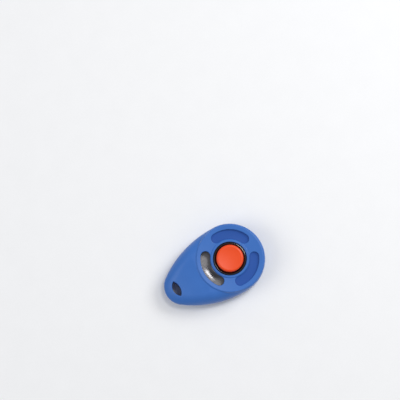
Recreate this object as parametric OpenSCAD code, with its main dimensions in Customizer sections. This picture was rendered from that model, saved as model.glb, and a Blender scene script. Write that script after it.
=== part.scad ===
// Palm clicker for animal training.
// An egg-shaped two-part housing lies flat on its back. A round push button stands in a well at the
// big end, three curved slots surround it, and a lanyard slot goes through the narrow end.
// The button drives a post that snaps a dimpled spring-steel plate.
// Frame: origin at the centre of the resting face, +X towards the big end, +Z along the button's axis.

/* [Outline] */
// Length of the housing
body_len = 70; // [66:0.5:74]
// Radius of the big end
big_r = 23; // [22.5:0.1:24]
// Radius of the narrow end
tip_r = 12.3; // [11.5:0.1:13]
// Radius of the two long flanks
flank_r = 67; // [60:1:80]

/* [Heights] */
// Height of the parting plane between the two shells
part_z = 7; // [6.5:0.1:7.5]
// Height of the round rim at the big end
rim_z = 16; // [15.8:0.1:16.6]
// Height of the button's edge when it is released
button_z = 18.8; // [18.4:0.1:19.6]
// Wall thickness of both shells
wall = 1.8; // [1.5:0.1:2]

/* [Island] */
// Radius of the round rim
rim_r = 21.4; // [21.2:0.1:21.5]
// Depth of the shallow dish inside the rim
dish_depth = 1.2; // [0.8:0.1:1.4]
// Radius of the well that the button stands in
well_r = 10.85; // [10.8:0.01:10.9]
// Inner radius of the curved slots
slot_in_r = 12.7; // [12.6:0.1:12.9]
// Outer radius of the curved slots
slot_out_r = 18.9; // [18.2:0.1:19.2]
// Half of the angle that one slot spans, end to end
slot_half_angle = 46.5; // [40:0.5:48]

/* [Button] */
// Radius of the button
button_r = 8.75; // [8.7:0.01:8.8]
// How far the button travels
travel = 2; // [1:0.1:2]
// Depth of the finger dish in the button
button_dish = 0.45; // [0.2:0.05:0.6]

/* [Lanyard slot] */
// Width of the slot along X
lens_w = 4.9; // [4.6:0.1:5.2]
// Length of the slot across the housing, before its ends are rounded
lens_len = 10.6; // [10.2:0.1:11]
// Distance from the narrow end to the slot
lens_edge = 5.1; // [4.8:0.1:5.4]

/* [Hidden] */
$fn = 96;
touch = 0.03;          // gap between pieces that would only touch
through = 20;          // longer than the housing is thick, for cutters that go right through
over = 1;              // how far a cutter runs past the face that it opens
bite = 0.5;            // how far the joined shapes of one piece run into each other

body_blue = [0.12, 0.27, 0.66];
button_orange = [0.95, 0.3, 0.12];
collar_black = [0.05, 0.05, 0.06];
nylon_white = [0.88, 0.87, 0.83];
steel = [0.72, 0.73, 0.75];
zinc = [0.62, 0.62, 0.6];
rubber_black = [0.08, 0.08, 0.08];

// Centres of the outline's arcs. Each flank arc's centre lies across the X axis from its flank.
big_x = body_len / 2 - big_r;
tip_x = tip_r - body_len / 2;
centres_apart = big_x - tip_x;
flank_dx = (pow(flank_r - tip_r, 2) - pow(flank_r - big_r, 2) - pow(centres_apart, 2)) / (2 * centres_apart);
flank_x = big_x + flank_dx;
flank_y = sqrt(pow(flank_r - big_r, 2) - pow(flank_dx, 2));
big_end_angle = atan2(flank_y, -flank_dx);
tip_end_angle = atan2(flank_y, tip_x - flank_x);

// Upper skin. The round rim ends in a low step, and the tail falls away behind it.
rim_edge = 1.7;        // how far in from the outline the edge is rounded at the big end
tail_edge = 7;         // the same at the tail
rim_power = 3;         // how square the rounded edge is at the big end: 2 is an ellipse
tail_power = 2;
tail_from = 75;        // the big end's edge turns into the tail's between these angles from +X
tail_to = 130;
tail_step = 0.6;       // height of the step behind the rim
step_w = 0.8;
tail_slope = 0.1;
tail_bend = 0.0045;
skin_steps = 96;
skin_rings = 11;
dish_rings = [20, 15.8, 11.6, 9];
ceiling_z = 13.1;
lowest_roof_z = part_z + 0.1;
hollow_shares = [0, 0.04, 0.12, 0.25, 0.45, 0.7, 1];

// Lower skin and the lip that lines the two shells up.
base_inset = 6;
base_rings = 7;
lip_h = 1.2;
lip_root = 1.4;
lip_w = 1;
lip_gap = 0.1;
lip_end_x = -18;

// Raised collar of the well, and the three slots. Two are blind and the third is open.
well_lip_r = 12.4;
well_lip_z = 15.7;
well_lip_round = 0.5;
slot_floor_z = 14.4;
slot_mid_r = (slot_in_r + slot_out_r) / 2;
slot_w = slot_out_r - slot_in_r;
blind_slot_angles = [60, -60];
open_slot_angle = 180;

// Lanyard slot: the overlap of two circles, with rounded ends.
lens_left = 0.6 * lens_w;
lens_right = lens_w - lens_left;
lens_x = -body_len / 2 + lens_edge + lens_left;
lens_round = 0.6;
lens_wall = 1.5;

// Collar: bezel ring, guide bore and the ledge that carries the return spring.
collar_gap = 0.05;
collar_r = well_r - collar_gap;
collar_top_z = 14.95;
collar_bore_r = button_r + 0.3;
collar_bore_z = 14.1;
collar_edge = 0.25;    // chamfer at the top of the bore
collar_flange_r = 12.4;
collar_flange_h = 1;
ledge_z = 10.2;
ledge_h = 1.2;
post_r = 2.5;
post_gap = 0.1;

// Button parts.
button_round = 1.3;
button_wall = 1.8;
button_skirt_z = 12.9;
head_z = 15.8;
head_h = button_z - button_wall - head_z;
head_r = button_r - button_wall - collar_gap;
clip_h = 0.5;
clip_r = 4;
groove_r = 1.9;
clip_gap = 0.1;
clip_mouth = 0.85 * groove_r;
clip_top_z = ledge_z - ledge_h - clip_gap;
post_end_z = 7.4;
spigot_r = 1.2;
spigot_h = 0.8;

// Return spring.
wire_r = 0.3;
spring_r = 4.6;
spring_turns = 4.5;
spring_end_pitch = 0.62;
spring_steps = 24;
wire_sides = 8;
spring_z0 = ledge_z + wire_r;
spring_z1 = head_z - wire_r;

// Click plate: a clamped root and a wide dimpled tongue that reaches under the button.
plate_z = 5.4;
plate_t = 0.4;
plate_top_z = plate_z + plate_t;
plate_w = 26;
bend_x = -6.8;
root_len = 6.4;
tongue_end_x = 18;
dimple_x = 4;
dimple_r = 4.5;
dimple_h = 0.9;
dimple_sphere_r = (dimple_r * dimple_r + dimple_h * dimple_h) / (2 * dimple_h);
tip_gap = 0.05;
tip_pad_r = 2.2;
tip_sphere_r = 2.4;

// Pedestal, clamp bar and their screws.
pedestal_len = 6.8;
pedestal_w = 26.4;
clamp_x = -10;
clamp_len = 5;
clamp_w = 25;
clamp_h = 1.2;
clamp_corner = 1;
clamp_screw_y = 8;
clamp_hole_r = 1.15;
clamp_shank_r = 0.9;
clamp_pilot_r = 0.95;
clamp_pilot_z = 2.4;
clamp_screw_len = 4.2;
clamp_head_r = 1.75;
clamp_head_h = 1.1;

// Screws that hold the shells together.
shell_screws = [[18.5, 14.2], [18.5, -14.2], [-18.5, 0]];
boss_r = 2.7;
foot_boss_r = 3.6;
pilot_r = 1.15;
pilot_z = 12.2;
shank_r = 1.1;
clear_r = 1.3;
counterbore_r = 2.4;
counterbore_h = 2;
screw_head_r = 2.1;
screw_head_h = 1.5;
screw_len = 9.9;

// Distance from the outline inwards at a point of the plan view.
function inset_at(x, y) =
    let (a = atan2(abs(y) + flank_y, x - flank_x))
    a < big_end_angle ? big_r - norm([x - big_x, y])
    : a > tip_end_angle ? tip_r - norm([x - tip_x, y])
    : flank_r - norm([x - flank_x, abs(y) + flank_y]);

// Distance along a ray from the big end's centre to a circle about a point d away from that centre.
function ray(dir, d, r) = let (along = d * dir) -along + sqrt(along * along + r * r - d * d);

// Distance from the big end's centre to the outline, moved inwards by inset, at an angle from +X.
function reach(angle, inset = 0) =
    let (
        a = abs(angle),
        dir = [cos(a), sin(a)],
        flank = ray(dir, [big_x - flank_x, flank_y], flank_r - inset),
        at = [big_x - flank_x, flank_y] + flank * dir
    )
    a <= big_end_angle ? big_r - inset
    : atan2(at[1], at[0]) < tip_end_angle ? flank
    : ray(dir, [centres_apart, 0], tip_r - inset);

function smooth(t) = let (u = min(1, max(0, t))) u * u * (3 - 2 * u);

// Height of the upper skin: a shallow dish inside the rim, and beyond it a rounded edge that is tight
// at the big end and broad at the tail.
function edge_height(x, y) =
    let (
        share = smooth((abs(atan2(y, x - big_x)) - tail_from) / (tail_to - tail_from)),
        edge = rim_edge + (tail_edge - rim_edge) * share,
        power = rim_power + (tail_power - rim_power) * share,
        back = max(0, big_x - rim_r - x),
        top = rim_z - share * tail_step - tail_slope * back - tail_bend * back * back,
        s = min(1, max(0, inset_at(x, y)) / edge)
    )
    part_z + (top - part_z) * pow(1 - pow(1 - s, power), 1 / power);
function skin_height(x, y) =
    let (r = norm([x - big_x, y]), share = smooth((r - rim_r) / step_w))
    r <= rim_r ? rim_z - dish_depth * (1 - pow(r / rim_r, 2))
    : rim_z * (1 - share) + edge_height(x, y) * share;

function at_ring(r, angle, z) = [big_x + r * cos(angle), r * sin(angle), z];
function angles(n) = [for (i = [0 : n - 1]) 360 * i / n - 180];

// A closed solid through a stack of rings that all have the same number of points.
module loft(rings) {
    n = len(rings[0]);
    last = len(rings) - 1;
    points = [for (ring = rings) each ring];
    sides = [
        for (k = [0 : last - 1], i = [0 : n - 1])
        let (j = (i + 1) % n)
        each [[k * n + i, (k + 1) * n + j, k * n + j], [k * n + i, (k + 1) * n + i, (k + 1) * n + j]]
    ];
    polyhedron(
        points = points,
        faces = concat([[for (i = [0 : n - 1]) i]], sides, [[for (i = [n - 1 : -1 : 0]) last * n + i]]),
        convexity = 8
    );
}

// Plan outline, moved inwards by inset.
module outline(inset = 0) {
    translate([big_x, 0]) polygon([for (a = angles(skin_steps)) reach(a, inset) * [cos(a), sin(a)]]);
}

// Outer skin of the upper shell. The rings close up towards the outline, where the surface is steep.
module upper_skin() {
    foot_r = rim_r + step_w;
    outer = [
        for (k = [0 : skin_rings])
        [for (a = angles(skin_steps))
            let (
                r = foot_r + (reach(a) - foot_r) * (1 - pow(k / skin_rings, 2)),
                p = at_ring(r, a, part_z)
            )
            [p[0], p[1], k == 0 ? part_z : skin_height(p[0], p[1])]]
    ];
    inner = [
        for (r = concat([rim_r + step_w / 2, rim_r], dish_rings))
        [for (a = angles(skin_steps))
            let (p = at_ring(r, a, part_z))
            [p[0], p[1], skin_height(p[0], p[1])]]
    ];
    loft(concat(outer, inner));
}

// Hollow of the upper shell. It opens through the parting plane.
module upper_hollow() {
    foot = [for (a = angles(skin_steps / 2)) at_ring(reach(a, wall), a, part_z - over)];
    roof = [
        for (share = hollow_shares)
        [for (a = angles(skin_steps / 2))
            let (
                out = reach(a, wall),
                p = at_ring(out - (out - slot_out_r) * share, a, part_z),
                z = skin_height(p[0], p[1]) - wall
            )
            [p[0], p[1], max(lowest_roof_z, min(ceiling_z, z))]]
    ];
    inner = [for (a = angles(skin_steps / 2)) at_ring(well_lip_r, a, ceiling_z)];
    loft(concat([foot], roof, [inner]));
}

// Skin of the lower shell, moved inwards by inset: a flat base and a quarter ellipse up to the parting plane.
module lower_skin(inset = 0, steps = skin_steps, top = part_z) {
    sides = [
        for (k = [0 : base_rings])
        let (a = 90 * (1 - k / base_rings), in = inset + (base_inset - inset) * (1 - cos(a)))
        [for (t = angles(steps)) at_ring(reach(t, in), t, inset + (part_z - inset) * (1 - sin(a)))]
    ];
    above = [for (t = angles(steps)) at_ring(reach(t, inset), t, top)];
    loft(top > part_z ? concat(sides, [above]) : sides);
}

// Low wall on the lower shell that fits inside the upper shell.
module locating_lip() {
    z0 = part_z - lip_root;
    intersection() {
        union() {
            translate([0, 0, z0]) linear_extrude(lip_root) difference() {
                outline(wall / 2);
                outline(wall + lip_gap + lip_w);
            }
            translate([0, 0, z0]) linear_extrude(lip_root + lip_h) difference() {
                outline(wall + lip_gap);
                outline(wall + lip_gap + lip_w);
            }
        }
        translate([lip_end_x, -big_r, z0]) cube([body_len, 2 * big_r, lip_root + lip_h]);
    }
}

// Slot of constant width bent round the island, with round ends a hair narrower than the slot.
module curved_slot(angle, z, h) {
    end_r = slot_w / 2 - touch;
    end = slot_half_angle - atan(end_r / slot_mid_r);
    far = 2 * slot_out_r;
    translate([big_x, 0, z]) rotate(angle) linear_extrude(h) {
        difference() {
            intersection() {
                circle(slot_out_r);
                polygon([[0, 0], far * [cos(end), -sin(end)], [far, 0], far * [cos(end), sin(end)]]);
            }
            circle(slot_in_r);
        }
        for (side = [-1, 1]) rotate(side * end) translate([slot_mid_r, 0]) circle(end_r);
    }
}

// Plan of the lanyard slot, grown outwards.
module lens(grow = 0) {
    half = lens_len / 2;
    left_r = (half * half + lens_left * lens_left) / (2 * lens_left);
    right_r = (half * half + lens_right * lens_right) / (2 * lens_right);
    translate([lens_x, 0]) offset(r = lens_round + grow, $fn = 32) offset(delta = -lens_round)
        intersection() {
            translate([left_r - lens_left, 0]) circle(left_r);
            translate([lens_right - right_r, 0]) circle(right_r);
        }
}

// Screw along +Z from the underside of its head at z = 0. Ridges stand for the thread.
module screw(r, length, head_radius, head_height) {
    pitch = 0.9 * r;
    core = 0.78 * r;
    point = 0.8 * r;
    ridge_top = 0.35 * pitch;
    ridge_end = 0.7 * pitch;
    ridges = floor((length - 2 * r) / pitch);
    crown_r = 0.7 * head_radius;
    crown_z = -0.55 * head_height;
    cross_len = 1.1 * head_radius;
    cross_w = 0.26 * head_radius;
    cross_h = 1.1 * head_height;
    difference() {
        rotate_extrude($fn = 32) polygon(concat(
            [[0, -head_height], [crown_r, -head_height], [head_radius, crown_z], [head_radius, 0], [core, 0]],
            [for (i = [0 : ridges - 1])
                let (z = r + i * pitch)
                each [[core, z], [r, z + ridge_top], [core, z + ridge_end]]],
            [[core, length - point], [0, length]]
        ));
        translate([0, 0, -head_height]) for (turn = [0, 90]) rotate(turn)
            cube([cross_len, cross_w, cross_h], center = true);
    }
}

module upper_shell() {
    lip_r = well_r - over;
    lip_foot_z = ceiling_z + bite;
    lip_corner = (1 - cos(45)) * well_lip_round;
    color(body_blue) difference() {
        union() {
            upper_skin();
            translate([big_x, 0]) rotate_extrude() polygon([
                [lip_r, lip_foot_z], [well_lip_r, lip_foot_z], [well_lip_r, well_lip_z - well_lip_round],
                [well_lip_r - lip_corner, well_lip_z - lip_corner],
                [well_lip_r - well_lip_round, well_lip_z], [lip_r, well_lip_z]
            ]);
        }
        difference() {
            upper_hollow();
            translate([0, 0, part_z]) linear_extrude(through) lens(lens_wall);
            for (p = shell_screws) translate([p[0], p[1], part_z]) cylinder(r = boss_r, h = through);
        }
        translate([big_x, 0]) cylinder(r = well_r, h = through);
        curved_slot(open_slot_angle, ceiling_z - wall, through);
        for (angle = blind_slot_angles) curved_slot(angle, slot_floor_z, through);
        translate([0, 0, part_z - over]) linear_extrude(through) lens();
        for (p = shell_screws) translate([p[0], p[1], part_z - over])
            cylinder(r = pilot_r, h = pilot_z - part_z + over);
    }
}

// Hollow of the lower shell, round the bosses, the pedestal and the lanyard slot's wall.
module lower_hollow() {
    difference() {
        lower_skin(wall, skin_steps / 2, part_z + over);
        linear_extrude(through) lens(lens_wall);
        for (p = shell_screws) translate([p[0], p[1]]) cylinder(r = foot_boss_r, h = through);
        translate([bend_x - pedestal_len, -pedestal_w / 2, 0]) cube([pedestal_len, pedestal_w, plate_z]);
    }
}

module lower_shell() {
    color(body_blue) difference() {
        union() {
            difference() {
                lower_skin();
                lower_hollow();
            }
            locating_lip();
        }
        translate([0, 0, -over]) linear_extrude(through) lens();
        for (p = shell_screws) translate([p[0], p[1], -over]) {
            cylinder(r = clear_r, h = through);
            cylinder(r = counterbore_r, h = counterbore_h + over);
        }
        for (side = [-1, 1]) translate([clamp_x, side * clamp_screw_y, clamp_pilot_z])
            cylinder(r = clamp_pilot_r, h = plate_z);
    }
}

module button_collar() {
    color(collar_black) translate([big_x, 0]) rotate_extrude() polygon([
        [collar_r, collar_top_z], [collar_bore_r + collar_edge, collar_bore_z + collar_edge],
        [collar_bore_r, collar_bore_z], [collar_bore_r, ledge_z],
        [post_r + post_gap, ledge_z], [post_r + post_gap, ledge_z - ledge_h],
        [collar_r, ledge_z - ledge_h], [collar_r, ceiling_z - collar_flange_h],
        [collar_flange_r, ceiling_z - collar_flange_h], [collar_flange_r, ceiling_z], [collar_r, ceiling_z]
    ]);
}

module button_cap() {
    dish_r = button_r - button_round;
    dish_sphere_r = (dish_r * dish_r + button_dish * button_dish) / (2 * button_dish);
    color(button_orange) translate([big_x, 0]) difference() {
        rotate_extrude() {
            square([button_r - button_round, button_z]);
            square([button_r, button_z - button_round]);
            translate([button_r - button_round, button_z - button_round]) circle(button_round);
        }
        cylinder(r = button_r + over, h = button_skirt_z);
        cylinder(r = button_r - button_wall, h = head_z + head_h);
        translate([0, 0, button_z - button_dish + dish_sphere_r]) sphere(dish_sphere_r);
    }
}

module button_plunger() {
    color(nylon_white) translate([big_x, 0]) difference() {
        union() {
            translate([0, 0, head_z]) cylinder(r = head_r, h = head_h);
            translate([0, 0, post_end_z]) cylinder(r = post_r, h = head_z - post_end_z + bite);
            translate([0, 0, post_end_z - spigot_h]) cylinder(r = spigot_r, h = spigot_h + bite);
        }
        translate([0, 0, clip_top_z - clip_h - touch]) difference() {
            cylinder(r = post_r + over, h = clip_h + 2 * touch);
            cylinder(r = groove_r, h = clip_h + 2 * touch);
        }
    }
}

module plunger_clip() {
    color(steel) translate([big_x, 0, clip_top_z - clip_h]) difference() {
        cylinder(r = clip_r, h = clip_h);
        translate([0, 0, -over]) cylinder(r = groove_r + touch, h = clip_h + 2 * over);
        translate([0, -clip_mouth, -over]) cube([clip_r + over, 2 * clip_mouth, clip_h + 2 * over]);
    }
}

module plunger_tip() {
    bottom = plate_top_z + tip_gap;
    color(rubber_black) translate([big_x, 0]) difference() {
        intersection() {
            translate([0, 0, bottom + tip_sphere_r]) sphere(tip_sphere_r);
            translate([0, 0, bottom - over]) cylinder(r = tip_pad_r, h = post_end_z - bottom + over);
        }
        translate([0, 0, post_end_z - spigot_h]) cylinder(r = spigot_r, h = spigot_h + over);
    }
}

// Height of the wire's centre: one close turn at each end and even turns between.
function spring_rise(turn) =
    turn < 1 ? turn * spring_end_pitch
    : turn > spring_turns - 1 ? spring_z1 - spring_z0 - (spring_turns - turn) * spring_end_pitch
    : spring_end_pitch + (turn - 1) * (spring_z1 - spring_z0 - 2 * spring_end_pitch) / (spring_turns - 2);

module return_spring() {
    color(steel) translate([big_x, 0, spring_z0]) loft([
        for (k = [0 : spring_turns * spring_steps])
        let (turn = k / spring_steps, a = 360 * turn)
        [for (b = [0 : wire_sides - 1])
            let (c = 360 * b / wire_sides, r = spring_r + wire_r * cos(c))
            [r * cos(a), r * sin(a), spring_rise(turn) + wire_r * sin(c)]]
    ]);
}

module click_plate_root() {
    color(steel) difference() {
        translate([bend_x - root_len, -plate_w / 2, plate_z]) cube([root_len, plate_w, plate_t]);
        for (side = [-1, 1]) translate([clamp_x, side * clamp_screw_y, plate_z - over])
            cylinder(r = clamp_hole_r, h = plate_t + 2 * over);
    }
}

// Dome of the dimple, or the hollow under it when it is moved inwards.
module dimple(inset, z) {
    intersection() {
        translate([dimple_x, 0, plate_top_z + dimple_h - dimple_sphere_r]) sphere(dimple_sphere_r - inset);
        translate([dimple_x, 0, z]) cylinder(r = dimple_r + over, h = dimple_r);
    }
}

module click_plate_tongue() {
    end_r = plate_w / 2;
    end_x = tongue_end_x - end_r;
    color(steel) difference() {
        union() {
            translate([0, 0, plate_z]) linear_extrude(plate_t) intersection() {
                union() {
                    translate([end_x, 0]) circle(end_r);
                    translate([bend_x, -end_r]) square([end_x - bend_x, plate_w]);
                }
                translate([bend_x + touch, -plate_w]) square([body_len, 2 * plate_w]);
            }
            dimple(0, plate_z + plate_t / 2);
        }
        dimple(plate_t, plate_z - over);
    }
}

module plate_clamp() {
    color(zinc) translate([clamp_x, 0, plate_top_z]) difference() {
        linear_extrude(clamp_h) {
            square([clamp_len - 2 * clamp_corner, clamp_w], center = true);
            square([clamp_len, clamp_w - 2 * clamp_corner], center = true);
            for (sx = [-1, 1], sy = [-1, 1])
                translate([sx * (clamp_len / 2 - clamp_corner), sy * (clamp_w / 2 - clamp_corner)])
                    circle(clamp_corner);
        }
        for (side = [-1, 1]) translate([0, side * clamp_screw_y, -over])
            cylinder(r = clamp_hole_r, h = clamp_h + 2 * over);
    }
}

module clamp_screw(side) {
    color(zinc) translate([clamp_x, side * clamp_screw_y, plate_top_z + clamp_h]) mirror([0, 0, 1])
        screw(clamp_shank_r, clamp_screw_len, clamp_head_r, clamp_head_h);
}

module shell_screw(place) {
    color(zinc) translate([place[0], place[1], counterbore_h])
        screw(shank_r, screw_len, screw_head_r, screw_head_h);
}

upper_shell();
lower_shell();
button_collar();
button_cap();
button_plunger();
plunger_clip();
plunger_tip();
return_spring();
click_plate_root();
click_plate_tongue();
plate_clamp();
clamp_screw(1);  // clamp_screw_left
clamp_screw(-1);  // clamp_screw_right
shell_screw(shell_screws[0]);  // shell_screw_left
shell_screw(shell_screws[1]);  // shell_screw_right
shell_screw(shell_screws[2]);  // shell_screw_tail
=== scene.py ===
"""Looks of a palm clicker for animal training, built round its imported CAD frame.

The housing's two shells are remade as fine meshes from the same outline and height rules as the CAD,
with softened edges. Lengths are in millimetres until a mesh is made, and the floor, the lamps and the
camera are placed in metres. +X points to the big end and Z = 0 is the flat base.
"""
import math

import bmesh
import bpy
import numpy as np
from mathutils import Matrix, Vector
from mathutils.geometry import delaunay_2d_cdt


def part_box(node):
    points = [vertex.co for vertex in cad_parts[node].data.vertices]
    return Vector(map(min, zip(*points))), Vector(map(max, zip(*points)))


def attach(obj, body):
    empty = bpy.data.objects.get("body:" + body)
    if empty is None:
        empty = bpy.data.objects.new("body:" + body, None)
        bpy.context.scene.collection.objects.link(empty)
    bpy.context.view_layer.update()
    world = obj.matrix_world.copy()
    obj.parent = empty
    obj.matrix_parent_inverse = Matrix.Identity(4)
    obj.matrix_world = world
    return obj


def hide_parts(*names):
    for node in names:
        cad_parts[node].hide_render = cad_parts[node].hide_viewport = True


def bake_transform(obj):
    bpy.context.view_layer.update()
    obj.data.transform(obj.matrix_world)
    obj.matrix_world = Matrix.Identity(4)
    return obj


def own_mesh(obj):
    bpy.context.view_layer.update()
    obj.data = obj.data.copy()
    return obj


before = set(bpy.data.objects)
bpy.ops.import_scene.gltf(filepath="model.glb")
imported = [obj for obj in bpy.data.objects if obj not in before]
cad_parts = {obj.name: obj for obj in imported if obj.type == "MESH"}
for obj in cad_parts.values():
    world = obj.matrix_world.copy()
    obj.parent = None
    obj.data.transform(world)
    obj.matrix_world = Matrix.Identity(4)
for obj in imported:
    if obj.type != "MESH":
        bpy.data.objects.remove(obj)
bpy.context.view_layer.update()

MM = 0.001
# Points that lie closer than this after a boolean, in metres, are merged.
WELD = 0.0000015
# How far a cutter sticks out of what it cuts.
OVER = 1


def box_mm(node):
    """Lowest and highest corner of a CAD node, in millimetres."""
    low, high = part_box(node)
    return np.array(low) / MM, np.array(high) / MM


# ---------------------------------------------------------------- dimensions read from the frame
UPPER_LOW, UPPER_HIGH = box_mm("upper_shell")
CAP_LOW, CAP_HIGH = box_mm("button_cap")
COLLAR_LOW, COLLAR_HIGH = box_mm("button_collar")
SPRING_LOW, SPRING_HIGH = box_mm("return_spring")
PLATE_LOW, PLATE_HIGH = box_mm("click_plate_root")
TONGUE_END = box_mm("click_plate_tongue")[1][0]
SHELL_SCREWS = [sum(box_mm(node)) / 2 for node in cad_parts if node.startswith("shell_screw")]

HALF_LEN = UPPER_HIGH[0]
PART_Z = UPPER_LOW[2]
RIM_Z = UPPER_HIGH[2]
BUTTON_X = (CAP_LOW[0] + CAP_HIGH[0]) / 2
BUTTON_R = (CAP_HIGH[0] - CAP_LOW[0]) / 2
BIG_R = HALF_LEN - BUTTON_X

# ---------------------------------------------------------------- the outline and its rounded edge
# The outline is four arcs: the big end, the tip, and two flanks that are tangent to both.
TIP_R = 12.3
TIP_X = TIP_R - HALF_LEN
FLANK_R = 67.0
SPAN = BUTTON_X - TIP_X
FLANK_DX = ((FLANK_R - TIP_R) ** 2 - (FLANK_R - BIG_R) ** 2 - SPAN ** 2) / (2 * SPAN)
FLANK_X = BUTTON_X + FLANK_DX
FLANK_Y = math.sqrt((FLANK_R - BIG_R) ** 2 - FLANK_DX ** 2)
BIG_END = math.atan2(FLANK_Y, -FLANK_DX)
TIP_END = math.atan2(FLANK_Y, TIP_X - FLANK_X)

# The chamfer at the parting line: distances inside the outline and away from the line.
GROOVE = 0.25
GROOVE_STEPS = ((0.2, 0), (0.05, 0.6 * GROOVE), (0, GROOVE))

# The island is a dish inside the rim. Outside it the edge rolls over, wider and rounder towards the tail.
RIM_R = 21.4
STEP_W = 0.8
DISH = 1.2
RIM_EDGE, TAIL_EDGE = 1.7, 7.0
RIM_POWER, TAIL_POWER = 3.0, 2.0
TAIL_FROM, TAIL_TO = math.radians(75), math.radians(130)
TAIL_STEP, TAIL_SLOPE, TAIL_BEND = 0.6, 0.1, 0.0045
# A fine line is sunk just outside the rim.
RIM_LINE_DEPTH, RIM_LINE_W = 0.16, 0.22
BASE_INSET = 6.0
WALL = 1.8
CEILING_Z = 13.1

# Three curved slots lie round the button's well, which has a raised lip. Two are blind and one is open.
WELL_R = 10.85
LIP_R, LIP_FADE, LIP_Z = 12.1, 0.5, 15.7
SLOT_IN, SLOT_OUT = 12.7, 18.9
SLOT_MID, SLOT_HALF_W = (SLOT_IN + SLOT_OUT) / 2, (SLOT_OUT - SLOT_IN) / 2
SLOT_END = math.radians(46.5) - math.atan(SLOT_HALF_W / SLOT_MID)
SLOT_FLOOR = 14.4
OPEN_SLOT, BLIND_SLOTS = math.pi, (math.pi / 3, -math.pi / 3)

# The lanyard slot has the shape of a lens. Its outer edge is LENS_EDGE away from the tip.
LENS_W, LENS_LEN, LENS_EDGE, LENS_TIP_R = 4.9, 10.6, 5.1, 0.6
LENS_LEFT, LENS_RIGHT = 0.6 * LENS_W, 0.4 * LENS_W
LENS_X = LENS_EDGE + LENS_LEFT - HALF_LEN

# ---------------------------------------------------------------- how finely the shells are divided
BAND_LOOPS, BAND_SHARE, BAND_POWER = 14, 0.5, 3
TURN_STEPS, WELL_STEPS, HOLE_STEPS = 480, 240, 72
SLOT_STEPS, SLOT_CAP_STEPS, LENS_STEPS, LENS_TIP_STEPS = 90, 26, 40, 14
UPPER_SPACING, LOWER_SPACING, EDGE_CLEARANCE = 0.55, 0.9, 0.45
FEWEST_ON_RING = 6
# Radii where the surface turns sharply get rings in fine steps, and the radii between them plain spacing.
FINE_STEP = 0.11
FINE_SPANS = ((LIP_R - 0.8, LIP_R + LIP_FADE + 0.3), (RIM_R - 0.24, RIM_R + STEP_W + 0.25))
PLAIN_SPANS = (
    (0, LIP_R - 1.2),
    (LIP_R + LIP_FADE + 0.6, RIM_R - 0.4),
    (RIM_R + STEP_W + 0.6, HALF_LEN + BUTTON_X),
)


def smooth(t):
    """0 below 0, 1 above 1 and an even curve between them."""
    u = np.clip(t, 0, 1)
    return u * u * (3 - 2 * u)


def inset_at(x, y):
    """Distance from the outline inwards."""
    flank = np.hypot(x - FLANK_X, np.abs(y) + FLANK_Y)
    angle = np.arctan2(np.abs(y) + FLANK_Y, x - FLANK_X)
    big, tip = np.hypot(x - BUTTON_X, y), np.hypot(x - TIP_X, y)
    return np.where(angle < BIG_END, BIG_R - big, np.where(angle > TIP_END, TIP_R - tip, FLANK_R - flank))


def ray(dx, dy, cx, cy, r):
    """Distance along the ray (dx, dy) from the button's axis to a circle centred (cx, cy) from that axis."""
    along = -(cx * dx + cy * dy)
    return -along + np.sqrt(np.maximum(0, along ** 2 + r ** 2 - cx ** 2 - cy ** 2))


def reach(angle, inset=0.0):
    """Distance from the button's axis to the outline moved inwards by inset."""
    a = np.abs((angle + math.pi) % (2 * math.pi) - math.pi)
    dx, dy = np.cos(a), np.sin(a)
    flank = ray(dx, dy, FLANK_DX, -FLANK_Y, FLANK_R - inset)
    tip = ray(dx, dy, -SPAN, 0, TIP_R - inset)
    where = np.arctan2(dy * flank + FLANK_Y, dx * flank - FLANK_DX)
    return np.where(a <= BIG_END, BIG_R - inset, np.where(where < TIP_END, flank, tip))


def tail_share(angle):
    """0 round the big end and 1 round the tail, by the angle about the button's axis."""
    a = np.abs((angle + math.pi) % (2 * math.pi) - math.pi)
    return smooth((a - TAIL_FROM) / (TAIL_TO - TAIL_FROM))


def edge_width(angle):
    """Width of the upper shell's rounded edge."""
    return RIM_EDGE + (TAIL_EDGE - RIM_EDGE) * tail_share(angle)


def edge_height(x, y):
    """Height of the upper shell outside the rim: a rounded edge and the tail's falling top."""
    angle = np.arctan2(y, x - BUTTON_X)
    share = tail_share(angle)
    power = RIM_POWER + (TAIL_POWER - RIM_POWER) * share
    back = np.maximum(0, BUTTON_X - RIM_R - x)
    top = RIM_Z - share * TAIL_STEP - TAIL_SLOPE * back - TAIL_BEND * back ** 2
    s = np.clip(inset_at(x, y) / edge_width(angle), 0, 1)
    foot = PART_Z + GROOVE
    return foot + (top - foot) * (1 - (1 - s) ** power) ** (1 / power)


def upper_height(x, y):
    """Top of the upper shell: the dished island with its lip, the step behind it and the tail."""
    r = np.hypot(x - BUTTON_X, y)
    dish = RIM_Z - DISH * (1 - (r / RIM_R) ** 2)
    island = dish + (LIP_Z - dish) * smooth((LIP_R + LIP_FADE - r) / LIP_FADE)
    share = smooth((r - RIM_R) / STEP_W)
    top = np.where(r <= RIM_R, island, RIM_Z * (1 - share) + edge_height(x, y) * share)
    return top - RIM_LINE_DEPTH * np.exp(-((r - RIM_R - RIM_LINE_W) / RIM_LINE_W) ** 2)


def lower_height(x, y):
    """Underside of the lower shell: flat, with a quarter ellipse up to the parting line."""
    s = np.clip(inset_at(x, y) / BASE_INSET, 0, 1)
    return (PART_Z - GROOVE) * (1 - np.sqrt(1 - (1 - s) ** 2))


# ---------------------------------------------------------------- closed loops in plan view
def turn(n):
    """Angles of n even steps round a circle."""
    return np.linspace(-math.pi, math.pi, n, endpoint=False)


def around(angle, r, x=BUTTON_X, y=0.0):
    """Points at some angles and radii about a centre."""
    return np.column_stack([x + r * np.cos(angle), y + r * np.sin(angle)])


def outline_loop(inset=0.0):
    """The housing's outline, moved inwards by inset."""
    return around(turn(TURN_STEPS), reach(turn(TURN_STEPS), inset))


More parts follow.
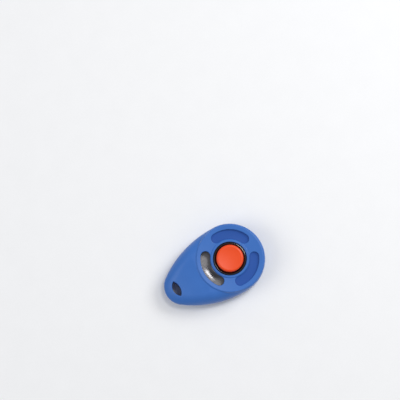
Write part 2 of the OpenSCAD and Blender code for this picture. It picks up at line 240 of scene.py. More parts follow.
def circle_loop(x, y, r, n):
    """Circle of n points."""
    return around(turn(n), r, x, y)


def rectangle(x0, x1, y0, y1):
    """Four corners, anticlockwise."""
    return np.array([(x0, y0), (x1, y0), (x1, y1), (x0, y1)])


def slot_loop(middle, grow):
    """Round-ended slot bent round the button's axis, grown by a distance."""
    w = SLOT_HALF_W + grow
    side = np.linspace(-SLOT_END, SLOT_END, SLOT_STEPS)
    cap = np.linspace(0, math.pi, SLOT_CAP_STEPS)[1:-1]
    ends = [around(np.array([middle + s * SLOT_END]), SLOT_MID)[0] for s in (1, -1)]
    return np.vstack([
        around(middle + side, SLOT_MID + w),
        around(middle + SLOT_END + cap, w, *ends[0]),
        around(middle + side[::-1], SLOT_MID - w),
        around(middle - SLOT_END + math.pi + cap, w, *ends[1]),
    ])


def lens_loop(grow):
    """Overlap of two circles with rounded tips, grown by a distance."""
    half = LENS_LEN / 2
    left_r = (half ** 2 + LENS_LEFT ** 2) / (2 * LENS_LEFT)
    right_r = (half ** 2 + LENS_RIGHT ** 2) / (2 * LENS_RIGHT)
    left_x, right_x = LENS_X + left_r - LENS_LEFT, LENS_X + LENS_RIGHT - right_r
    apart, p, q = left_x - right_x, left_r - LENS_TIP_R, right_r - LENS_TIP_R
    tip_x = left_x - (p ** 2 - q ** 2 + apart ** 2) / (2 * apart)
    tip_y = math.sqrt(p ** 2 - (left_x - tip_x) ** 2)
    right_a = math.atan2(tip_y, tip_x - right_x)
    left_a = math.atan2(tip_y, tip_x - left_x)
    tip_turn = np.linspace(right_a, left_a, LENS_TIP_STEPS)[1:-1]
    return np.vstack([
        around(np.linspace(-right_a, right_a, LENS_STEPS), right_r + grow, right_x),
        around(tip_turn, LENS_TIP_R + grow, tip_x, tip_y),
        around(np.linspace(left_a, 2 * math.pi - left_a, LENS_STEPS), left_r + grow, left_x),
        around(-tip_turn[::-1], LENS_TIP_R + grow, tip_x, -tip_y),
    ])


def is_inside(points, loop):
    """Even-odd test of many points against one closed loop."""
    x, y = points[:, 0:1], points[:, 1:2]
    x1, y1 = loop[:, 0], loop[:, 1]
    x2, y2 = np.roll(x1, -1), np.roll(y1, -1)
    crosses = (y1 > y) != (y2 > y)
    level = np.where(y1 == y2, 1, y2 - y1)
    return (crosses & (x < (x2 - x1) * (y - y1) / level + x1)).sum(axis=1) % 2 == 1


# ---------------------------------------------------------------- mesh building
CDT_TOLERANCE = 1e-7


class Surface:
    """Points and faces, in millimetres, that grow into one closed mesh."""

    def __init__(self):
        self.points = np.zeros((0, 3))
        self.faces = []

    def loop(self, xy, z):
        """Adds points and gives their numbers."""
        start = len(self.points)
        added = np.column_stack([xy, np.broadcast_to(z, len(xy))])
        self.points = np.vstack([self.points, added])
        return np.arange(start, start + len(xy))

    def strip(self, a, b):
        """Faces between two loops of the same length."""
        for i in range(len(a)):
            j = (i + 1) % len(a)
            self.faces.append((a[i], a[j], b[j], b[i]))

    def strips(self, loops):
        """Faces between each loop and the next one."""
        for a, b in zip(loops, loops[1:]):
            self.strip(a, b)

    def fill(self, outer, holes=(), height=None, spacing=0.0):
        """Triangles between loops. With a spacing, rings of points inside them carry the height."""
        loops = [outer, *holes]
        ids = np.concatenate(loops)
        edge_xy = self.points[ids, :2]
        extra = np.zeros((0, 2))
        if spacing:
            extra = rings_of_points(spacing)
            extra = extra[is_inside(extra, self.points[outer, :2])]
            for hole in holes:
                extra = extra[~is_inside(extra, self.points[hole, :2])]
            gap = np.array([np.min(np.hypot(*(edge_xy - p).T)) for p in extra])
            extra = extra[gap > EDGE_CLEARANCE * spacing]
        if len(extra):
            ids = np.concatenate([ids, self.loop(extra, height(extra[:, 0], extra[:, 1]))])
        edges, start = [], 0
        for one in loops:
            edges += [(start + i, start + (i + 1) % len(one)) for i in range(len(one))]
            start += len(one)
        flat = [Vector(p) for p in np.vstack([edge_xy, extra])]
        verts, _, faces, origins, _, _ = delaunay_2d_cdt(flat, edges, [], 0, CDT_TOLERANCE)
        keep = np.array([[p.x, p.y] for p in verts])
        middles = np.array([keep[list(f)].mean(axis=0) for f in faces])
        good = is_inside(middles, self.points[outer, :2])
        for hole in holes:
            good &= ~is_inside(middles, self.points[hole, :2])
        for face, ok in zip(faces, good):
            if ok:
                self.faces.append(tuple(ids[origins[v][0]] for v in face))

    def object(self, name):
        """Makes the mesh object, in metres, without unused points and with its normals outwards."""
        mesh = bpy.data.meshes.new(name)
        mesh.from_pydata((self.points * MM).tolist(), [], [tuple(int(i) for i in f) for f in self.faces])
        work = bmesh.new()
        work.from_mesh(mesh)
        bmesh.ops.delete(work, geom=[v for v in work.verts if not v.link_faces], context="VERTS")
        bmesh.ops.recalc_face_normals(work, faces=work.faces)
        work.to_mesh(mesh)
        work.free()
        piece = bpy.data.objects.new(name, mesh)
        bpy.context.scene.collection.objects.link(piece)
        return piece


def rings_of_points(spacing):
    """Points on rings round the button's axis, closer together at the lip and at the step behind the rim."""
    fine = np.concatenate([np.arange(low, high, FINE_STEP) for low, high in FINE_SPANS])
    first = 0.5 * spacing
    plain = np.concatenate([np.arange(max(low, first), high, spacing) for low, high in PLAIN_SPANS])
    rings = [around(turn(TURN_STEPS), r) for r in fine]
    for k, r in enumerate(plain):
        n = max(FEWEST_ON_RING, int(2 * math.pi * r / spacing))
        rings.append(around(turn(n) + (k % 2) * math.pi / n, r))
    return np.vstack(rings)


def smooth_shade(piece, degrees=38):
    """Smooth shading that stays crisp at edges sharper than an angle."""
    piece.data.polygons.foreach_set("use_smooth", [True] * len(piece.data.polygons))
    piece.data.set_sharp_from_angle(angle=math.radians(degrees))
    return piece


def combine(piece, other, operation):
    """Applies one exact boolean and removes the second object."""
    change = piece.modifiers.new("change", "BOOLEAN")
    change.operation = operation
    change.solver = "EXACT"
    change.object = other
    graph = bpy.context.evaluated_depsgraph_get()
    mesh = bpy.data.meshes.new_from_object(piece.evaluated_get(graph))
    work = bmesh.new()
    work.from_mesh(mesh)
    bmesh.ops.remove_doubles(work, verts=work.verts, dist=WELD)
    bmesh.ops.dissolve_degenerate(work, edges=work.edges, dist=WELD)
    work.to_mesh(mesh)
    work.free()
    piece.modifiers.clear()
    piece.data = mesh
    bpy.data.objects.remove(other)
    return piece


# A rolled edge begins with a loop that lies on the surface, this many radii from the wall.
OUTER_LOOP = 1.3


def rounded(surface, loop_at, height, radius, side, steps=5):
    """Loops that roll an edge over from the surface (side 1 is its top) into the wall of a hole."""
    loops = []
    for angle in np.linspace(0, math.pi / 2, steps):
        xy = loop_at(radius * (1 - math.sin(angle)))
        drop = side * radius * (1 - math.cos(angle))
        loops.append(surface.loop(xy, height(xy[:, 0], xy[:, 1]) - drop))
    xy = loop_at(OUTER_LOOP * radius)
    loops.insert(0, surface.loop(xy, height(xy[:, 0], xy[:, 1])))
    surface.strips(loops)
    return loops


def recess(surface, loop_at, wall, floor, radius, side, steps=4):
    """Carries a hole's wall down to a flat floor with a small fillet, and closes the floor."""
    loops = [wall]
    for angle in np.linspace(0, math.pi / 2, steps):
        xy = loop_at(-radius * (1 - math.cos(angle)))
        loops.append(surface.loop(xy, floor + side * radius * (1 - math.sin(angle))))
    surface.strips(loops)
    surface.fill(loops[-1])


def edge_band(surface, height, width, side):
    """The rounded edge of a shell, from the small chamfer at the parting line inwards."""
    loops = [surface.loop(outline_loop(inset), PART_Z + side * rise) for inset, rise in GROOVE_STEPS]
    for k in range(1, BAND_LOOPS + 1):
        xy = outline_loop(width * BAND_SHARE * (k / BAND_LOOPS) ** BAND_POWER)
        loops.append(surface.loop(xy, height(xy[:, 0], xy[:, 1])))
    surface.strips(loops)
    return loops[0], loops[-1]


def prism(name, xy, z0, z1):
    """Closed straight-sided solid between two heights."""
    surface = Surface()
    low, high = surface.loop(xy, z0), surface.loop(xy, z1)
    surface.strip(low, high)
    surface.fill(low)
    surface.fill(high)
    return surface.object(name)


def soften(corners, steps=6):
    """Rounds the corners of a profile. Each corner is (radius, height, size of the rounding)."""
    points = []
    for k, (r, z, size) in enumerate(corners):
        here = np.array([r, z])
        if not size:
            points.append((r, z))
            continue
        before = np.array(corners[k - 1][:2]) - here
        after = np.array(corners[(k + 1) % len(corners)][:2]) - here
        before, after = before / np.linalg.norm(before), after / np.linalg.norm(after)
        for t in np.linspace(0, 1, steps):
            curve = (1 - t) ** 2 * before + t ** 2 * after
            points.append(tuple(here + size * curve))
    return points


def lathe(name, profile, x=0.0, y=0.0, steps=144):
    """Turned piece. The profile is closed, or it starts and ends on the axis."""
    surface = Surface()
    on_axis = profile[0][0] == 0
    loops = [surface.loop(circle_loop(x, y, r, steps), z) for r, z in profile if r > 0]
    surface.strips(loops if on_axis else loops + loops[:1])
    if on_axis:
        for loop, z in ((loops[0], profile[0][1]), (loops[-1], profile[-1][1])):
            pole = surface.loop(np.array([[x, y]]), z)[0]
            for i in range(steps):
                surface.faces.append((loop[i], loop[(i + 1) % steps], pole))
    return surface.object(name)


# ---------------------------------------------------------------- housing
FILLET, FLOOR_FILLET, LENS_FILLET = 0.32, 0.25, 0.48
LENS_WALL = 1.5
HOLLOW_STEPS, BOWL_LOOPS, POST_STEPS, PILOT_STEPS = 160, 9, 48, 31
ROOF_SHARES = (0, 0.02, 0.06, 0.12, 0.2, 0.32, 0.5, 0.75, 1)
LOWEST_ROOF = PART_Z + 0.1
BOSS_R, FOOT_BOSS_R, PILOT_R = 2.7, 3.6, 1.15
PILOT_Z = 12.2
COUNTERBORE_R, COUNTERBORE_Z, CLEAR_R = 2.4, 2.0, 1.3
PEDESTAL_HALF_W, PEDESTAL_BACK = 13.2, 0.4
CLAMP_PILOT_R, CLAMP_PILOT_Z = 0.95, 2.4
LOCATOR_OUT, LOCATOR_IN, LOCATOR_END_X = 1.9, 2.9, -18.0
LOCATOR_LOW, LOCATOR_HIGH, LOCATOR_STEPS = PART_Z - 2.4, PART_Z + 1.2, 250
# The well and the open slot are sunk to here, which is inside the hollow, so cutting the hollow opens them.
CUT_Z = CEILING_Z - 0.6


def carved(cutter, solids):
    """A cutter that goes round some solids."""
    for solid in solids:
        combine(cutter, solid, "DIFFERENCE")
    return cutter


def screw_posts(r, z0, z1):
    """Cylinders round the shell screws, turned by half a step so that no corner lies on the X axis."""
    half_turned = turn(POST_STEPS) + math.pi / POST_STEPS
    return [prism("post", around(half_turned, r, place[0], place[1]), z0, z1) for place in SHELL_SCREWS]


def upper_hollow():
    """Cutter for the inside of the upper shell, round its screw bosses and the lanyard slot's wall."""
    surface = Surface()
    a = turn(HOLLOW_STEPS)
    out = reach(a, WALL)
    loops = [surface.loop(around(a, out), PART_Z - OVER)]
    for share in ROOF_SHARES:
        xy = around(a, out - (out - SLOT_OUT) * share)
        roof = upper_height(xy[:, 0], xy[:, 1]) - WALL
        loops.append(surface.loop(xy, np.clip(roof, LOWEST_ROOF, CEILING_Z)))
    surface.strips(loops)
    surface.fill(loops[0])
    surface.fill(loops[-1])
    tunnel = prism("tunnel", lens_loop(LENS_WALL), PART_Z - 3 * OVER, RIM_Z)
    hollow = carved(surface.object("hollow"), [tunnel, *screw_posts(BOSS_R, PART_Z - 3 * OVER, RIM_Z)])
    for post in screw_posts(PILOT_R, PART_Z - 2 * OVER, PILOT_Z):
        combine(hollow, post, "UNION")
    return hollow


def make_upper_shell():
    """Housing top: skin, curved slots, well and lanyard slot as one mesh, with the inside cut out."""
    surface = Surface()
    foot, inner = edge_band(surface, upper_height, edge_width(turn(TURN_STEPS)), 1)
    holes = []
    for middle in (*BLIND_SLOTS, OPEN_SLOT):
        def loop_at(grow, middle=middle):
            return slot_loop(middle, grow)
        edge = rounded(surface, loop_at, upper_height, FILLET, 1)
        floor = CUT_Z if middle == OPEN_SLOT else SLOT_FLOOR
        recess(surface, loop_at, edge[-1], floor, FLOOR_FILLET, 1)
        holes.append(edge[0])

    def well_loop(grow):
        return circle_loop(BUTTON_X, 0, WELL_R + grow, WELL_STEPS)

    well = rounded(surface, well_loop, upper_height, FILLET, 1)
    bottom = surface.loop(well_loop(0), CUT_Z)
    surface.strip(well[-1], bottom)
    surface.fill(bottom)
    lens = rounded(surface, lens_loop, upper_height, LENS_FILLET, 1)
    lens_foot = surface.loop(lens_loop(0), PART_Z)
    surface.strip(lens[-1], lens_foot)
    surface.fill(inner, [*holes, well[0], lens[0]], upper_height, UPPER_SPACING)
    surface.fill(foot, [lens_foot])
    return smooth_shade(combine(surface.object("upper_housing"), upper_hollow(), "DIFFERENCE"))


def lower_hollow():
    """Cutter for the inside of the lower shell, round its bosses, pedestal and lanyard slot's wall."""
    surface = Surface()
    a = turn(HOLLOW_STEPS)
    loops = [surface.loop(around(a, reach(a, WALL)), PART_Z + OVER)]
    for up in np.linspace(math.pi / 2, 0, BOWL_LOOPS):
        inset = WALL + (BASE_INSET - WALL) * (1 - math.sin(up))
        z = WALL + (PART_Z - WALL) * (1 - math.cos(up))
        loops.append(surface.loop(around(a, reach(a, inset)), z))
    surface.strips(loops)
    surface.fill(loops[0])
    surface.fill(loops[-1])
    tunnel = prism("tunnel", lens_loop(LENS_WALL), -OVER, PART_Z + 3 * OVER)
    pedestal_box = rectangle(PLATE_LOW[0] - PEDESTAL_BACK, PLATE_HIGH[0], -PEDESTAL_HALF_W, PEDESTAL_HALF_W)
    pedestal = prism("pedestal", pedestal_box, -OVER, PLATE_LOW[2])
    posts = screw_posts(FOOT_BOSS_R, -OVER, PART_Z + 3 * OVER)
    return carved(surface.object("hollow"), [tunnel, pedestal, *posts])


def locator():
    """Low wall that follows the outline round the big end and fits inside the upper housing."""
    a = turn(LOCATOR_STEPS) + math.pi / LOCATOR_STEPS
    a = a[around(a, reach(a, LOCATOR_IN))[:, 0] > LOCATOR_END_X]
    plan = np.vstack([around(a, reach(a, LOCATOR_OUT)), around(a, reach(a, LOCATOR_IN))[::-1]])
    return prism("locator", plan, LOCATOR_LOW, LOCATOR_HIGH)


def make_lower_shell():
    """Housing back: skin, screw holes and lanyard slot as one mesh, with the inside cut out."""
    surface = Surface()
    foot, inner = edge_band(surface, lower_height, np.full(TURN_STEPS, BASE_INSET), -1)
    holes, tops = [], []
    for post in SHELL_SCREWS:
        def loop_at(grow, post=post):
            return circle_loop(post[0], post[1], COUNTERBORE_R + grow, HOLE_STEPS)
        edge = rounded(surface, loop_at, lower_height, FILLET, -1)
        ring = circle_loop(post[0], post[1], CLEAR_R, HOLE_STEPS)
        loops = [edge[-1], surface.loop(loop_at(0), COUNTERBORE_Z), surface.loop(ring, COUNTERBORE_Z)]
        loops.append(surface.loop(ring, PART_Z))
        surface.strips(loops)
        holes.append(edge[0])
        tops.append(loops[-1])
    lens = rounded(surface, lens_loop, lower_height, LENS_FILLET, -1)
    tops.append(surface.loop(lens_loop(0), PART_Z))
    surface.strip(lens[-1], tops[-1])
    surface.fill(inner, [*holes, lens[0]], lower_height, LOWER_SPACING)
    surface.fill(foot, tops)
    shell = combine(surface.object("lower_housing"), lower_hollow(), "DIFFERENCE")
    combine(shell, locator(), "UNION")
    for side in (-1, 1):
        hole = circle_loop(PLATE_HOLE_X, side * PLATE_HOLE_Y, CLAMP_PILOT_R, PILOT_STEPS)
        combine(shell, prism("pilot", hole, CLAMP_PILOT_Z, PART_Z), "DIFFERENCE")
    return smooth_shade(shell)


# ---------------------------------------------------------------- button and its parts
# Rounding of the edges that need no more than to be soft.
SOFT = 0.15
CAP_ROUND, CAP_DISH, CAP_WALL, CAP_INSIDE_ROUND = 1.3, 0.45, 1.8, 0.4
DISH_STEPS, CAP_EDGE_STEPS = 24, 12
COLLAR_BORE, COLLAR_R = BUTTON_R + 0.3, WELL_R - 0.05
COLLAR_ROUND, COLLAR_FLAT, COLLAR_DROP, BORE_ROUND, FOOT_ROUND = 0.8, 0.9, 0.6, 0.3, 0.3
LEDGE_Z, LEDGE_ROUND, POST_HOLE_R = SPRING_LOW[2], 0.2, 2.6
FLANGE_H, FLANGE_ROUND = 1.0, 0.1
WIRE_R, WIRE_SIDES = 0.3, 14
SPRING_TURNS, TURN_LOOPS, END_PITCH = 4.5, 56, 0.62
TIP_SPHERE_R, SPIGOT_R, SPIGOT_H = 2.4, 1.2, 0.8
TIP_LOOPS, TIP_STEPS = 18, 72


def make_cap():
    """Push button: a dished top, a rounded edge and a hollow skirt."""
    top, skirt = CAP_HIGH[2], CAP_LOW[2]
    flat_r, inner_r = BUTTON_R - CAP_ROUND, BUTTON_R - CAP_WALL
    dish = [(flat_r * t, top - CAP_DISH * (1 - t * t)) for t in np.linspace(0, 1, DISH_STEPS)]
    turns = np.linspace(0, math.pi / 2, CAP_EDGE_STEPS)[1:]
    edge = [(flat_r + CAP_ROUND * math.sin(a), top - CAP_ROUND * (1 - math.cos(a))) for a in turns]
    inside = soften([
        (BUTTON_R, skirt, SOFT), (inner_r, skirt, SOFT),
        (inner_r, top - CAP_WALL, CAP_INSIDE_ROUND), (0, top - CAP_WALL, 0),
    ])
    return smooth_shade(lathe("push_button", dish + edge + inside, BUTTON_X))


def make_collar():
    """Glossy ring with a flat top, the button's bore and the spring's ledge."""
    top, foot = COLLAR_HIGH[2], COLLAR_LOW[2]
    flange_r = (COLLAR_HIGH[0] - COLLAR_LOW[0]) / 2
    profile = soften([
        (COLLAR_R, top, COLLAR_ROUND), (COLLAR_R - COLLAR_FLAT, top, 0),
        (COLLAR_BORE, top - COLLAR_DROP, BORE_ROUND), (COLLAR_BORE, LEDGE_Z, LEDGE_ROUND),
        (POST_HOLE_R, LEDGE_Z, SOFT), (POST_HOLE_R, foot, SOFT), (COLLAR_R, foot, FOOT_ROUND),
        (COLLAR_R, CEILING_Z - FLANGE_H, SOFT), (flange_r, CEILING_Z - FLANGE_H, SOFT),
        (flange_r, CEILING_Z, SOFT), (COLLAR_R, CEILING_Z, FLANGE_ROUND),
    ])
    return smooth_shade(lathe("well_ring", profile, BUTTON_X))


def make_tip():
    """Rubber pad under the plunger's post: part of a sphere, with a hole for the spigot above it."""
    low, high = box_mm("plunger_tip")
    pad_r = (high - low)[0] / 2
    turns = np.linspace(0, math.asin(pad_r / TIP_SPHERE_R), TIP_LOOPS)
    sphere = [(TIP_SPHERE_R * math.sin(a), low[2] + TIP_SPHERE_R * (1 - math.cos(a))) for a in turns]
    spigot_z = high[2] - SPIGOT_H
    hole = [(pad_r, high[2]), (SPIGOT_R, high[2]), (SPIGOT_R, spigot_z), (0, spigot_z)]
    return smooth_shade(lathe("tip_pad", sphere + hole, BUTTON_X, steps=TIP_STEPS))


def make_spring():
    """Coil with one close turn at each end. The wire is swept along a helix."""
    surface = Surface()
    low, high = SPRING_LOW[2] + WIRE_R, SPRING_HIGH[2] - WIRE_R
    r = (SPRING_HIGH[0] - SPRING_LOW[0]) / 2 - WIRE_R
    pitch = (high - low - 2 * END_PITCH) / (SPRING_TURNS - 2)
    round_wire = np.linspace(0, 2 * math.pi, WIRE_SIDES, endpoint=False)
    loops = []
    for t in np.linspace(0, SPRING_TURNS, int(SPRING_TURNS * TURN_LOOPS)):
        close_low, close_high = min(t, 1), max(t - SPRING_TURNS + 1, 0)
        z = low + (close_low + close_high) * END_PITCH + (t - close_low - close_high) * pitch
        wire = r + WIRE_R * np.cos(round_wire)
        xy = around(np.full(len(wire), 2 * math.pi * t), wire)
        loops.append(surface.loop(xy, z + WIRE_R * np.sin(round_wire)))
    surface.strips(loops)
    surface.faces += [tuple(loops[0]), tuple(loops[-1])]
    return smooth_shade(surface.object("coil_spring"), degrees=50)


# ---------------------------------------------------------------- click plate
PLATE_HOLE_R, PLATE_HOLE_X, PLATE_HOLE_Y = 1.15, -10.0, 8.0
DIMPLE_X, DIMPLE_R, DIMPLE_H = 4.0, 4.5, 0.9
DIMPLE_FOOT, DIMPLE_STEEP, DIMPLE_POWER = 1.12, 1.25, 0.9
PLATE_CORNER, PLATE_SPACING = 1.2, 0.6
PLATE_END_STEPS, PLATE_SIDE_STEPS, PLATE_CORNER_STEPS, PLATE_HOLE_STEPS = 72, 50, 8, 40
# The trough's steepest flank is what catches the key lamp, as a streak in the open slot.
TROUGH_X, TROUGH_SKEW, TROUGH_HALF_W, TROUGH_DEPTH = -1.2, 0.2, 4.8, 0.48
TROUGH_MID_Y, TROUGH_HALF_LEN, TROUGH_FADE = -1.8, 6.0, 4.5


def plate_outline():
    """Plan of the plate: a round free end and a straight root with rounded corners."""
    half = PLATE_HIGH[1]
    end_x = TONGUE_END - half
    sweep = np.linspace(-math.pi / 2, math.pi / 2, PLATE_END_STEPS)
    corner = np.linspace(math.pi / 2, math.pi, PLATE_CORNER_STEPS)
    left = PLATE_LOW[0] + PLATE_CORNER
    side = np.linspace(end_x, left, PLATE_SIDE_STEPS)[1:-1]
    return np.vstack([
        around(sweep, half, end_x),
        np.column_stack([side, np.full(len(side), half)]),
        around(corner, PLATE_CORNER, left, half - PLATE_CORNER),
        around(corner + math.pi / 2, PLATE_CORNER, left, PLATE_CORNER - half),
        np.column_stack([side[::-1], np.full(len(side), -half)]),
    ])


def plate_rise(x, y):
    """A round dimple with a soft foot, and the shallow skewed trough between it and the clamp."""
    r = np.hypot(x - DIMPLE_X, y)
    across = np.clip((x - TROUGH_X + TROUGH_SKEW * y) / TROUGH_HALF_W, -1, 1)
    trough = TROUGH_DEPTH * (1 - across ** 2) ** 2 * smooth(x - PLATE_HIGH[0])
    trough = trough * smooth((TROUGH_HALF_LEN - np.abs(y - TROUGH_MID_Y)) / TROUGH_FADE)
    dimple = DIMPLE_H * smooth(DIMPLE_STEEP * (1 - r / (DIMPLE_FOOT * DIMPLE_R))) ** DIMPLE_POWER
    return dimple - trough


def make_plate():
    """One sheet of spring steel from the clamped root to the free end."""
    surface = Surface()
    outline = plate_outline()
    faces = []
    for z in (PLATE_LOW[2], PLATE_HIGH[2]):
        rim = surface.loop(outline, z + plate_rise(outline[:, 0], outline[:, 1]))
        holes = [
            surface.loop(circle_loop(PLATE_HOLE_X, y, PLATE_HOLE_R, PLATE_HOLE_STEPS), z)
            for y in (-PLATE_HOLE_Y, PLATE_HOLE_Y)
        ]
        surface.fill(rim, holes, lambda x, y, z=z: z + plate_rise(x, y), PLATE_SPACING)
        faces.append([rim, *holes])
    for low, high in zip(*faces):
        surface.strip(low, high)
    return smooth_shade(surface.object("click_plate"), degrees=30)


# ---------------------------------------------------------------- screws
SHELL_SHANK_R, SHELL_HEAD_H = 1.1, 1.5
CLAMP_SHANK_R, CLAMP_HEAD_H = 0.9, 1.1
SCREW_STEPS, CROWN_STEPS = 42, 10
HEAD_CROWN, HEAD_EDGE, POINT_R = 0.4, 0.1, 0.15
THREAD_PITCH, THREAD_DEPTH, THREAD_START = 0.7, 0.22, 0.4
CREST_FROM, CREST_TO = 0.3, 0.45
RECESS_LEN, RECESS_W, RECESS_DEPTH = 1.1, 0.28, 0.6


def make_screw(node, shank_r, head_h, side):
    """Pan-head screw with a cross recess, inside its CAD box. Side 1 has its head up, -1 down."""
    low, high = box_mm(node)
    x, y = (low + high)[:2] / 2
    head_r, length = (high - low)[0] / 2, (high - low)[2]
    start = high[2] if side > 0 else low[2]
    core_r = shank_r - THREAD_DEPTH
    turns = np.linspace(0, math.pi / 2, CROWN_STEPS)
    profile = [(head_r * math.sin(a), HEAD_CROWN * head_h * (1 - math.cos(a))) for a in turns]
    profile += [(head_r, head_h - HEAD_EDGE), (head_r - HEAD_EDGE, head_h), (core_r, head_h)]
    down = head_h + THREAD_START
    while down + THREAD_PITCH < length - shank_r:
        for r, step in ((core_r, 0), (shank_r, CREST_FROM), (shank_r, CREST_TO)):
            profile.append((r, down + step * THREAD_PITCH))
        down += THREAD_PITCH
    profile += [(core_r, down), (POINT_R, length), (0, length)]
    screw = lathe(node + "_fine", [(r, start - side * z) for r, z in profile], x, y, SCREW_STEPS)
    floor = start - side * RECESS_DEPTH * head_h
    for wide, tall in ((RECESS_LEN, RECESS_W), (RECESS_W, RECESS_LEN)):
        a, b = head_r * wide / 2, head_r * tall / 2
        bar = rectangle(x - a, x + a, y - b, y + b)
        combine(screw, prism("recess", bar, floor, start + side * OVER), "DIFFERENCE")
    return smooth_shade(screw, degrees=35)


# ---------------------------------------------------------------- finishes
PATCHES = 70
PATCH_DETAIL, GRAIN_DETAIL = 4, 3
SHARE_LOW, SHARE_HIGH = 0.7, 1.3


def finish(name, dark, light, rough, grain, relief, stretch=(1, 1, 1), wave=None, **sockets):
    """Procedural finish: broad patches and a fine grain mix two colours and two roughnesses.

    The grain is features per metre and the relief is its height in metres. The stretch draws the grain out
    along an axis. A wave is the same pair for a slow unevenness of the whole surface. Further sockets are
    set on the shader.
    """
    material = bpy.data.materials.new(name)
    material.use_nodes = True
    tree = material.node_tree
    shader = tree.nodes["Principled BSDF"]

    def node(kind, **links):
        made = tree.nodes.new(kind)
        for socket, source in links.items():
            tree.links.new(source, made.inputs[socket])
        return made

    place = tree.nodes.new("ShaderNodeTexCoord").outputs["Object"]
    drawn_out = node("ShaderNodeMapping", Vector=place)
    drawn_out.inputs["Scale"].default_value = stretch
    patches = node("ShaderNodeTexNoise", Vector=place)
    patches.inputs["Scale"].default_value = PATCHES
    patches.inputs["Detail"].default_value = PATCH_DETAIL
    fine = node("ShaderNodeTexNoise", Vector=drawn_out.outputs["Vector"])
    fine.inputs["Scale"].default_value = grain
    fine.inputs["Detail"].default_value = GRAIN_DETAIL

    both = node("ShaderNodeMath")
    both.operation = "ADD"
    tree.links.new(patches.outputs["Fac"], both.inputs[0])
    tree.links.new(fine.outputs["Fac"], both.inputs[1])
    share = node("ShaderNodeMapRange", Value=both.outputs["Value"])
    share.inputs["From Min"].default_value = SHARE_LOW
    share.inputs["From Max"].default_value = SHARE_HIGH
    colours = node("ShaderNodeValToRGB", Fac=share.outputs["Result"])
    colours.color_ramp.elements[0].color = (*dark, 1)
    colours.color_ramp.elements[1].color = (*light, 1)
    tree.links.new(colours.outputs["Color"], shader.inputs["Base Color"])

    shine = node("ShaderNodeMapRange", Value=share.outputs["Result"])
    shine.inputs["To Min"].default_value = rough[0]
    shine.inputs["To Max"].default_value = rough[1]
    tree.links.new(shine.outputs["Result"], shader.inputs["Roughness"])
    bump = node("ShaderNodeBump", Height=fine.outputs["Fac"])
    bump.inputs["Strength"].default_value = 1
    bump.inputs["Distance"].default_value = relief
    if wave:
        slow = node("ShaderNodeTexNoise", Vector=place)
        slow.inputs["Scale"].default_value = wave[0]
        slow.inputs["Detail"].default_value = 0
        swell = node("ShaderNodeBump", Height=slow.outputs["Fac"])
        swell.inputs["Distance"].default_value = wave[1]
        tree.links.new(swell.outputs["Normal"], bump.inputs["Normal"])
    tree.links.new(bump.outputs["Normal"], shader.inputs["Normal"])
    for socket, value in sockets.items():
        shader.inputs[socket.replace("_", " ")].default_value = value
    return material


BLUE = finish(
    "satin_blue", (0.041, 0.147, 0.465), (0.047, 0.161, 0.50), (0.30, 0.38), 4200, 0.000004,
    Specular_IOR_Level=0.25,
)
# Painted shade: a darker blue for the blind slots' floors, standing in for the shade in the recesses, with a
# rougher finish.
SHADED_RECESS_BLUE = finish(
    "recess_painted_shade", (0.017, 0.078, 0.33), (0.021, 0.088, 0.36), (0.48, 0.56), 4200, 0.000005,
    Specular_IOR_Level=0.2,
)
ORANGE = finish(
    "soft_orange", (0.79, 0.064, 0.006), (0.85, 0.075, 0.008), (0.34, 0.42), 6000, 0.000006,
    Specular_IOR_Level=0.37,
)
BLACK = finish(
    "gloss_black", (0.006, 0.006, 0.007), (0.010, 0.010, 0.011), (0.11, 0.13), 3000, 0.000001,
    Specular_IOR_Level=0.8,
)
NYLON = finish("natural_nylon", (0.66, 0.64, 0.58), (0.72, 0.70, 0.64), (0.40, 0.50), 4500, 0.000004)
RUBBER = finish("black_rubber", (0.016, 0.016, 0.016), (0.024, 0.024, 0.024), (0.65, 0.8), 5200, 0.00001)
STEEL = finish(
    "rolled_spring_steel", (0.25, 0.24, 0.25), (0.345, 0.335, 0.335), (0.26, 0.36), 5200, 0.000003,
    stretch=(0.04, 1, 1), wave=(55, 0.0006), Metallic=1.0,
)
WIRE = finish(
    "drawn_steel_wire", (0.48, 0.47, 0.46), (0.60, 0.59, 0.57), (0.22, 0.34), 6000, 0.000002,
    Metallic=1.0,
)
ZINC = finish(
    "zinc_plate", (0.56, 0.57, 0.58), (0.68, 0.68, 0.67), (0.26, 0.42), 3600, 0.000003,
    Metallic=1.0,
)
PAPER = finish("pale_floor", (0.86, 0.86, 0.86), (0.88, 0.88, 0.88), (0.75, 0.85), 900, 0.00001)


# ---------------------------------------------------------------- the pieces and the bodies they ride on
def place_piece(piece, material, nodes, body):
    """Gives a piece its finish, the CAD nodes that it stands for and the body that it rides on."""
    piece.data.materials.clear()
    piece.data.materials.append(material)
    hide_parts(*nodes)
    if body:
        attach(piece, body)


# A recess floor reaches this far below its level, in mm, and up into this share of its fillet.
LEVEL_SLACK, FLOOR_SHARE = 0.01, 0.6


def paint_recess_shade(shell):
    """Gives the floors of the two blind slots a darker blue: painted shade for the shade that falls in these
    recesses.
    """
    shell.data.materials.append(SHADED_RECESS_BLUE)
    for face in shell.data.polygons:
        level = face.center.z / MM - SLOT_FLOOR
        near = math.hypot(face.center.x / MM - BUTTON_X, face.center.y / MM) < RIM_R
        if near and -LEVEL_SLACK < level < FLOOR_SHARE * FLOOR_FILLET:
            face.material_index = 1


upper = make_upper_shell()
place_piece(upper, BLUE, ["upper_shell"], "housing")
# The floors of the blind slots get the painted shade.
paint_recess_shade(upper)
place_piece(make_lower_shell(), BLUE, ["lower_shell"], "housing")
place_piece(make_collar(), BLACK, ["button_collar"], "housing")
place_piece(make_cap(), ORANGE, ["button_cap"], "button")
place_piece(make_tip(), RUBBER, ["plunger_tip"], "button")

spring = make_spring()
place_piece(spring, WIRE, ["return_spring"], "housing")
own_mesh(spring)

plate = make_plate()
place_piece(plate, STEEL, ["click_plate_root", "click_plate_tongue"], None)
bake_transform(plate)

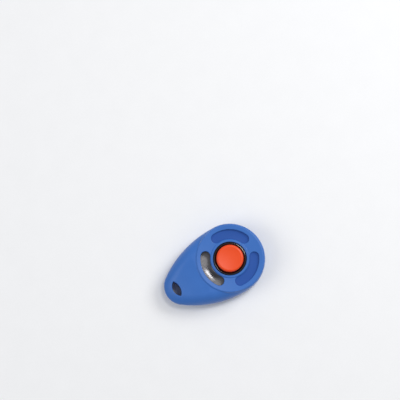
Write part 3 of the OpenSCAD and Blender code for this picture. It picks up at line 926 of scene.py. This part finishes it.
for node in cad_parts:
    if node.startswith("shell_screw"):
        screw = make_screw(node, SHELL_SHANK_R, SHELL_HEAD_H, -1)
        place_piece(screw, ZINC, [node], "housing")
    if node.startswith("clamp_screw"):
        screw = make_screw(node, CLAMP_SHANK_R, CLAMP_HEAD_H, 1)
        place_piece(screw, ZINC, [node], "housing")

KEPT_NODES = {"button_plunger": NYLON, "plunger_clip": WIRE, "plate_clamp": ZINC}
for node, material in KEPT_NODES.items():
    for slot in bpy.data.objects[node].material_slots:
        slot.material = material


# ---------------------------------------------------------------- floor, light and camera
# The floor lies just under zero, so that it doesn't share the flat base's plane.
FLOOR_HALF, FLOOR_Z = 1.5, -0.00004
floor_mesh = bpy.data.meshes.new("floor")
corners = [(-1, -1), (1, -1), (1, 1), (-1, 1)]
floor_mesh.from_pydata([(FLOOR_HALF * x, FLOOR_HALF * y, FLOOR_Z) for x, y in corners], [], [(0, 1, 2, 3)])
floor_mesh.materials.append(PAPER)
floor = bpy.data.objects.new("floor", floor_mesh)
bpy.context.scene.collection.objects.link(floor)

# SLANT turns the view about Z, and TILT leans the camera back from straight down.
SLANT = math.radians(29.5)
TILT = math.radians(6.5)
RIGHT = Vector((math.cos(SLANT), -math.sin(SLANT), 0))
UP = Vector((math.sin(SLANT), math.cos(SLANT), 0))
SKY = Vector((0, 0, 1))
BUTTON = Vector((BUTTON_X * MM, 0, PART_Z * MM))


def aim(thing, place, target):
    """Puts a lamp or the camera at a place and turns it to a target, with UP upwards."""
    back = (place - target).normalized()
    side = UP.cross(back).normalized()
    axes = Matrix((side, back.cross(side), back)).transposed()
    thing.matrix_world = Matrix.Translation(place) @ axes.to_4x4()


def soft_light(name, toward, distance, size, power):
    """Square white lamp in one direction from the button."""
    light = bpy.data.lights.new(name, "AREA")
    light.shape = "SQUARE"
    light.size = size
    light.energy = power
    lamp = bpy.data.objects.new(name, light)
    bpy.context.scene.collection.objects.link(lamp)
    aim(lamp, BUTTON + distance * toward.normalized(), BUTTON)


soft_light("key", 0.25 * RIGHT + 0.28 * UP + SKY, distance=1.15, size=0.26, power=3.0)
soft_light("side", 0.9 * RIGHT + 0.7 * UP + 0.9 * SKY, distance=1.2, size=0.5, power=6.8)
soft_light("fill", -0.9 * RIGHT - 0.2 * UP + 0.9 * SKY, distance=1.3, size=0.8, power=4.6)

ROOM_COLOUR, ROOM_STRENGTH = (0.93, 0.95, 1.0, 1), 0.4
world = bpy.data.worlds.new("pale_room")
world.use_nodes = True
world.node_tree.nodes["Background"].inputs["Color"].default_value = ROOM_COLOUR
world.node_tree.nodes["Background"].inputs["Strength"].default_value = ROOM_STRENGTH
bpy.context.scene.world = world

SENSOR_WIDTH, FOCAL_LENGTH = 36, 131
camera_data = bpy.data.cameras.new("camera")
camera_data.sensor_width = SENSOR_WIDTH
camera_data.lens = FOCAL_LENGTH
camera = bpy.data.objects.new("camera", camera_data)
bpy.context.scene.collection.objects.link(camera)
CAMERA_DISTANCE = 0.95
# The middle of the view, in millimetres from the button.
VIEW_RIGHT, VIEW_UP = -19.22, 38.9
target = BUTTON + (VIEW_RIGHT * RIGHT + VIEW_UP * UP) * MM
aim(camera, target + CAMERA_DISTANCE * (math.cos(TILT) * SKY - math.sin(TILT) * UP), target)
bpy.context.scene.camera = camera
bpy.context.scene.view_settings.view_transform = "Standard"
